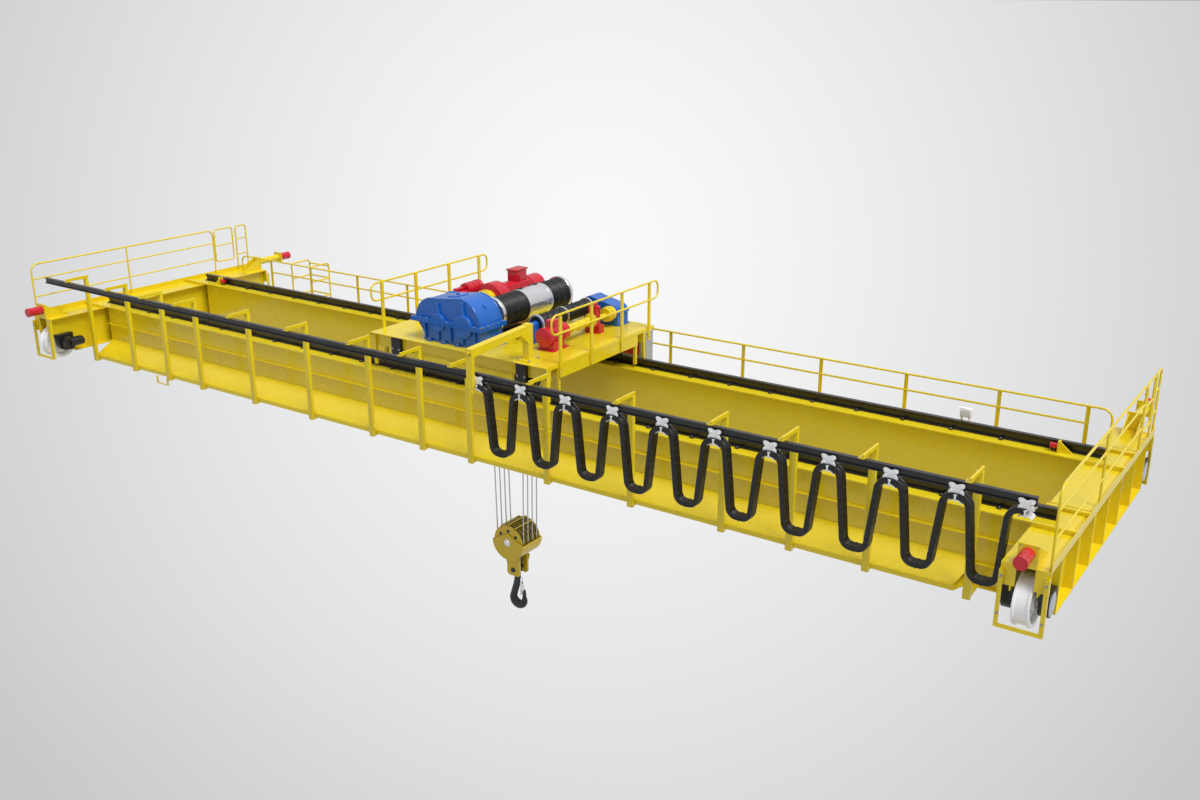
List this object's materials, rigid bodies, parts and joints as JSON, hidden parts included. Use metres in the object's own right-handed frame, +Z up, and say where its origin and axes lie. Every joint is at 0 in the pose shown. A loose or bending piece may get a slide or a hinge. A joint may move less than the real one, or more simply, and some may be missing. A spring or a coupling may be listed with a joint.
{
  "type": "overhead bridge crane",
  "caption": "Double-girder overhead bridge crane with end trucks, railed trolley with main and auxiliary hoist machinery, hook block and festoon cable system.",
  "frame": {"origin": "middle of the bridge at the level of the runway rail heads", "axes": "+X along the bridge to the festoon's fixed end, +Y along the runway away from the festoon, +Z up"},
  "size_m": [20.132, 6.74, 6.206],
  "materials": {
    "yellow_paint": "gloss enamel",
    "red_paint": "gloss enamel",
    "blue_paint": "gloss enamel",
    "grey_paint": "satin enamel",
    "black_rail": "satin black",
    "wheel_steel": "machined",
    "black_iron": "painted",
    "zinc_steel": "zinc plated",
    "cable_black": "matt sheath",
    "rope_steel": "greased wire"
  },
  "bodies": {
    "bridge": {"front_girder": "yellow_paint", "rear_girder": "yellow_paint", "trolley_rails": "black_rail", "trolley_end_stops": "yellow_paint", "left_end_truck": "yellow_paint", "right_end_truck": "yellow_paint", "wheel_bearing_boxes": "black_iron", "rail_guards": "yellow_paint", "buffer_brackets": "yellow_paint", "buffers": "red_paint", "bridge_drives": "black_iron", "truck_handrails": "yellow_paint", "walkway": "yellow_paint", "walkway_handrail": "yellow_paint", "access_cage": "yellow_paint", "control_cabinet": "grey_paint", "festoon_brackets": "yellow_paint", "festoon_rail": "black_rail", "festoon_end_clamp": "zinc_steel", "festoon_cables": "cable_black"},
    "trolley": {"trolley_frame": "yellow_paint", "trolley_deck": "yellow_paint", "trolley_railings": "yellow_paint", "trolley_wheel_boxes": "black_iron", "main_gearbox": "blue_paint", "drum_pedestals": "blue_paint", "main_motor": "red_paint", "couplings": "yellow_paint", "brakes": "red_paint", "trolley_drive": "black_iron", "aux_gearbox": "blue_paint", "aux_motor": "red_paint", "tow_arm": "yellow_paint", "upper_sheaves": "black_iron", "hoist_ropes": "rope_steel"},
    "left_front_wheel": {"left_front_wheel": "wheel_steel"},
    "left_rear_wheel": {"left_rear_wheel": "wheel_steel"},
    "right_front_wheel": {"right_front_wheel": "wheel_steel"},
    "right_rear_wheel": {"right_rear_wheel": "wheel_steel"},
    "left_gate": {"left_gate": "yellow_paint"},
    "right_gate": {"right_gate": "yellow_paint"},
    "drive_wheelset": {"drive_wheelset": "black_iron"},
    "idle_wheels": {"idle_wheels": "black_iron"},
    "main_drum": {"main_drum": "black_iron"},
    "aux_drum": {"aux_drum": "black_iron"},
    "hook_block": {"hook_block_frame": "yellow_paint"},
    "block_sheaves": {"block_sheaves": "yellow_paint"},
    "hook": {"hook": "black_iron"},
    "hook_latch": {"hook_latch": "zinc_steel"},
    "carrier_1": {"carrier_1": "zinc_steel"},
    "carrier_2": {"carrier_2": "zinc_steel"},
    "carrier_3": {"carrier_3": "zinc_steel"},
    "carrier_4": {"carrier_4": "zinc_steel"},
    "carrier_5": {"carrier_5": "zinc_steel"},
    "carrier_6": {"carrier_6": "zinc_steel"},
    "carrier_7": {"carrier_7": "zinc_steel"},
    "carrier_8": {"carrier_8": "zinc_steel"},
    "carrier_9": {"carrier_9": "zinc_steel"},
    "tow_carrier": {"tow_carrier": "zinc_steel"}
  },
  "joints": [
    {"name": "trolley_travel", "type": "slide", "parent": "bridge", "child": "trolley", "axis": [1, 0, 0], "range_m": [-7.1, 5.4], "deforming": ["festoon_cables"]},
    {"name": "left_front_wheel_spin", "type": "hinge", "parent": "bridge", "child": "left_front_wheel", "pos_m": [-9.75, -2.48, 0.32], "axis": [1, 0, 0], "continuous": true},
    {"name": "left_rear_wheel_spin", "type": "hinge", "parent": "bridge", "child": "left_rear_wheel", "pos_m": [-9.75, 2.48, 0.32], "axis": [1, 0, 0], "continuous": true},
    {"name": "right_front_wheel_spin", "type": "hinge", "parent": "bridge", "child": "right_front_wheel", "pos_m": [9.75, -2.48, 0.32], "axis": [1, 0, 0], "continuous": true},
    {"name": "right_rear_wheel_spin", "type": "hinge", "parent": "bridge", "child": "right_rear_wheel", "pos_m": [9.75, 2.48, 0.32], "axis": [1, 0, 0], "continuous": true},
    {"name": "left_gate_swing", "type": "hinge", "parent": "bridge", "child": "left_gate", "pos_m": [-10.01, 1.789, 1.2], "axis": [0, 0, -1], "range_deg": [0, 90]},
    {"name": "right_gate_swing", "type": "hinge", "parent": "bridge", "child": "right_gate", "pos_m": [10.01, 1.789, 1.2], "axis": [0, 0, 1], "range_deg": [0, 90]},
    {"name": "drive_wheelset_spin", "type": "hinge", "parent": "trolley", "child": "drive_wheelset", "pos_m": [1.395, 0, 1.2003], "axis": [0, 1, 0], "range_deg": [-2100, 2100]},
    {"name": "idle_wheels_spin", "type": "hinge", "parent": "trolley", "child": "idle_wheels", "pos_m": [-1.305, 0, 1.2003], "axis": [0, 1, 0], "range_deg": [-2100, 2100]},
    {"name": "hoist", "type": "slide", "parent": "trolley", "child": "hook_block", "axis": [0, 0, 1], "range_m": [-9.4, 2.6], "deforming": ["hoist_ropes"]},
    {"name": "main_drum_spin", "type": "hinge", "parent": "trolley", "child": "main_drum", "pos_m": [0.1, 0, 1.9], "axis": [0, -1, 0], "range_deg": [-7300, 2100]},
    {"name": "sheave_spin", "type": "hinge", "parent": "hook_block", "child": "block_sheaves", "pos_m": [0.1, 0, -2.43], "axis": [0, -1, 0], "range_deg": [-7300, 2100]},
    {"name": "aux_drum_spin", "type": "hinge", "parent": "trolley", "child": "aux_drum", "pos_m": [0.88, 0, 1.8], "axis": [0, 1, 0], "continuous": true},
    {"name": "hook_swivel", "type": "hinge", "parent": "hook_block", "child": "hook", "pos_m": [0.1, 0, -3.2], "axis": [0, 0, 1], "continuous": true},
    {"name": "latch_pivot", "type": "hinge", "parent": "hook", "child": "hook_latch", "pos_m": [0.175, 0, -3.335], "axis": [0, 1, 0], "range_deg": [0, 20], "stiffness_Nm_per_rad": 6, "springref_deg": -34.38},
    {"name": "festoon_slide_1", "type": "slide", "parent": "bridge", "child": "carrier_1", "axis": [1, 0, 0], "range_m": [-0.71, 0.54]},
    {"name": "festoon_slide_2", "type": "slide", "parent": "carrier_1", "child": "carrier_2", "axis": [1, 0, 0], "range_m": [-0.71, 0.54]},
    {"name": "festoon_slide_3", "type": "slide", "parent": "carrier_2", "child": "carrier_3", "axis": [1, 0, 0], "range_m": [-0.71, 0.54]},
    {"name": "festoon_slide_4", "type": "slide", "parent": "carrier_3", "child": "carrier_4", "axis": [1, 0, 0], "range_m": [-0.71, 0.54]},
    {"name": "festoon_slide_5", "type": "slide", "parent": "carrier_4", "child": "carrier_5", "axis": [1, 0, 0], "range_m": [-0.71, 0.54]},
    {"name": "festoon_slide_6", "type": "slide", "parent": "carrier_5", "child": "carrier_6", "axis": [1, 0, 0], "range_m": [-0.71, 0.54]},
    {"name": "festoon_slide_7", "type": "slide", "parent": "carrier_6", "child": "carrier_7", "axis": [1, 0, 0], "range_m": [-0.71, 0.54]},
    {"name": "festoon_slide_8", "type": "slide", "parent": "carrier_7", "child": "carrier_8", "axis": [1, 0, 0], "range_m": [-0.71, 0.54]},
    {"name": "festoon_slide_9", "type": "slide", "parent": "carrier_8", "child": "carrier_9", "axis": [1, 0, 0], "range_m": [-0.71, 0.54]},
    {"name": "festoon_slide_10", "type": "slide", "parent": "carrier_9", "child": "tow_carrier", "axis": [1, 0, 0], "range_m": [-0.71, 0.54]}
  ],
  "couplings": [
    {"joint": "drive_wheelset_spin", "follows": "trolley_travel", "rad_per_m": 5},
    {"joint": "idle_wheels_spin", "follows": "trolley_travel", "rad_per_m": 5},
    {"joint": "main_drum_spin", "follows": "hoist", "rad_per_m": 13.333},
    {"joint": "sheave_spin", "follows": "hoist", "rad_per_m": 13.333},
    {"joint": "festoon_slide_1", "follows": "trolley_travel", "ratio": 0.1},
    {"joint": "festoon_slide_2", "follows": "trolley_travel", "ratio": 0.1},
    {"joint": "festoon_slide_3", "follows": "trolley_travel", "ratio": 0.1},
    {"joint": "festoon_slide_4", "follows": "trolley_travel", "ratio": 0.1},
    {"joint": "festoon_slide_5", "follows": "trolley_travel", "ratio": 0.1},
    {"joint": "festoon_slide_6", "follows": "trolley_travel", "ratio": 0.1},
    {"joint": "festoon_slide_7", "follows": "trolley_travel", "ratio": 0.1},
    {"joint": "festoon_slide_8", "follows": "trolley_travel", "ratio": 0.1},
    {"joint": "festoon_slide_9", "follows": "trolley_travel", "ratio": 0.1},
    {"joint": "festoon_slide_10", "follows": "trolley_travel", "ratio": 0.1}
  ]
}
